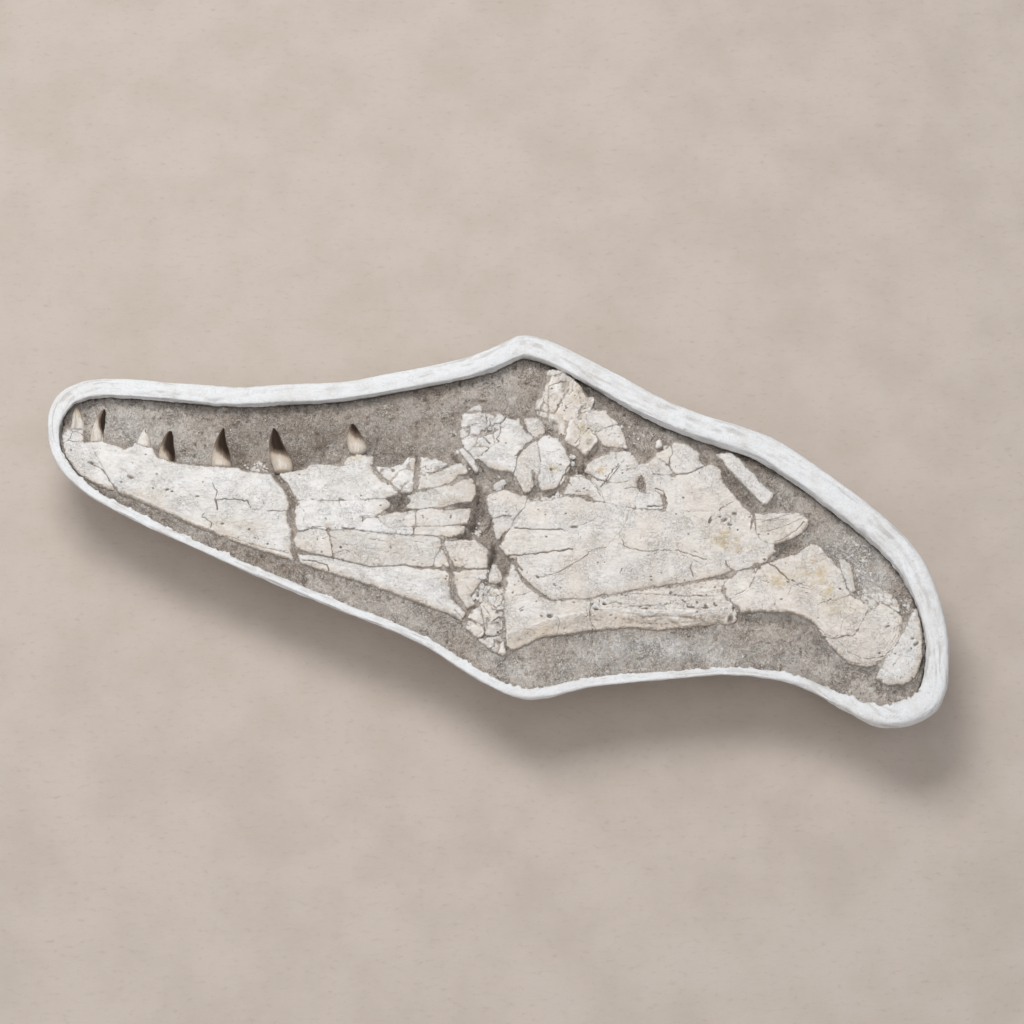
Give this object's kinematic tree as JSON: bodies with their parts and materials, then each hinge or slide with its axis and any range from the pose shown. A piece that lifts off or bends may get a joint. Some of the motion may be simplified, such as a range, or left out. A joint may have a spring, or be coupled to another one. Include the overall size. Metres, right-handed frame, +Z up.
{
  "type": "fossil jaw in plaster field jacket",
  "caption": "Fossil lower jaw of a large marine reptile with its teeth, crushed and cracked, lying on its side in rock matrix inside a boat-shaped white plaster field jacket.",
  "frame": {"origin": "on the flat underside of the jacket's foot, under the middle of the jaw", "axes": "+X from the tip of the jaw to its back end, +Y from the lower edge of the jaw to its teeth, +Z up"},
  "size_m": [1.1297, 0.5394, 0.1281],
  "materials": {
    "plaster": "matt white plaster with fine streaks and pinholes",
    "rock_matrix": "dull grey-brown chalky rock, scraped and pitted",
    "fossil_bone": "cream bone, cracked, with ochre stains",
    "toothed_bone": "cream bone with dark brown tooth enamel, slightly glossy"
  },
  "bodies": {
    "root": {"plaster_jacket": "plaster", "rock_matrix": "rock_matrix", "angular_fibrous_strip": "fossil_bone", "angular_plate": "fossil_bone", "articular_front_plate": "fossil_bone", "articular_main": "fossil_bone", "channel_splinter": "fossil_bone", "coronoid_lump": "fossil_bone", "coronoid_process": "fossil_bone", "coronoid_rear_lobe": "fossil_bone", "coronoid_rear_shard": "fossil_bone", "crushed_chip_centre": "fossil_bone", "crushed_chip_edge": "fossil_bone", "crushed_chip_foot": "fossil_bone", "crushed_chip_left": "fossil_bone", "crushed_chip_lower": "fossil_bone", "crushed_chip_top": "fossil_bone", "crushed_chip_upper": "fossil_bone", "dentary_corner": "fossil_bone", "dentary_crest_block": "fossil_bone", "dentary_crest_chip": "fossil_bone", "dentary_front": "toothed_bone", "dentary_rear_middle": "fossil_bone", "dentary_rear_socket": "toothed_bone", "dentary_rear_upper": "toothed_bone", "dentary_tip": "toothed_bone", "loose_plate": "fossil_bone", "prearticular_broad_plate": "fossil_bone", "prearticular_corner": "fossil_bone", "prearticular_high_plate": "fossil_bone", "prearticular_middle": "fossil_bone", "retroarticular_crumbled_edge": "fossil_bone", "retroarticular_end": "fossil_bone", "rib_sliver": "fossil_bone", "slender_bone": "fossil_bone", "splenial_bar": "fossil_bone", "splenial_front": "fossil_bone", "splenial_large_block": "fossil_bone", "splenial_left_block": "fossil_bone", "splenial_lower": "fossil_bone", "splenial_lower_block": "fossil_bone", "splenial_middle": "fossil_bone", "splenial_thin_block": "fossil_bone", "splenial_upper_block": "fossil_bone", "splenial_wedge": "fossil_bone", "surangular_broken_plate": "fossil_bone", "surangular_crest_chip": "fossil_bone", "surangular_fan": "fossil_bone", "surangular_front_plate": "fossil_bone", "surangular_front_wedge": "fossil_bone", "surangular_main": "fossil_bone", "surangular_rear_plate": "fossil_bone", "surangular_rear_shard": "fossil_bone", "surangular_upper_shard": "fossil_bone", "surangular_white_chip": "fossil_bone", "white_knob": "fossil_bone"}
  },
  "joints": []
}
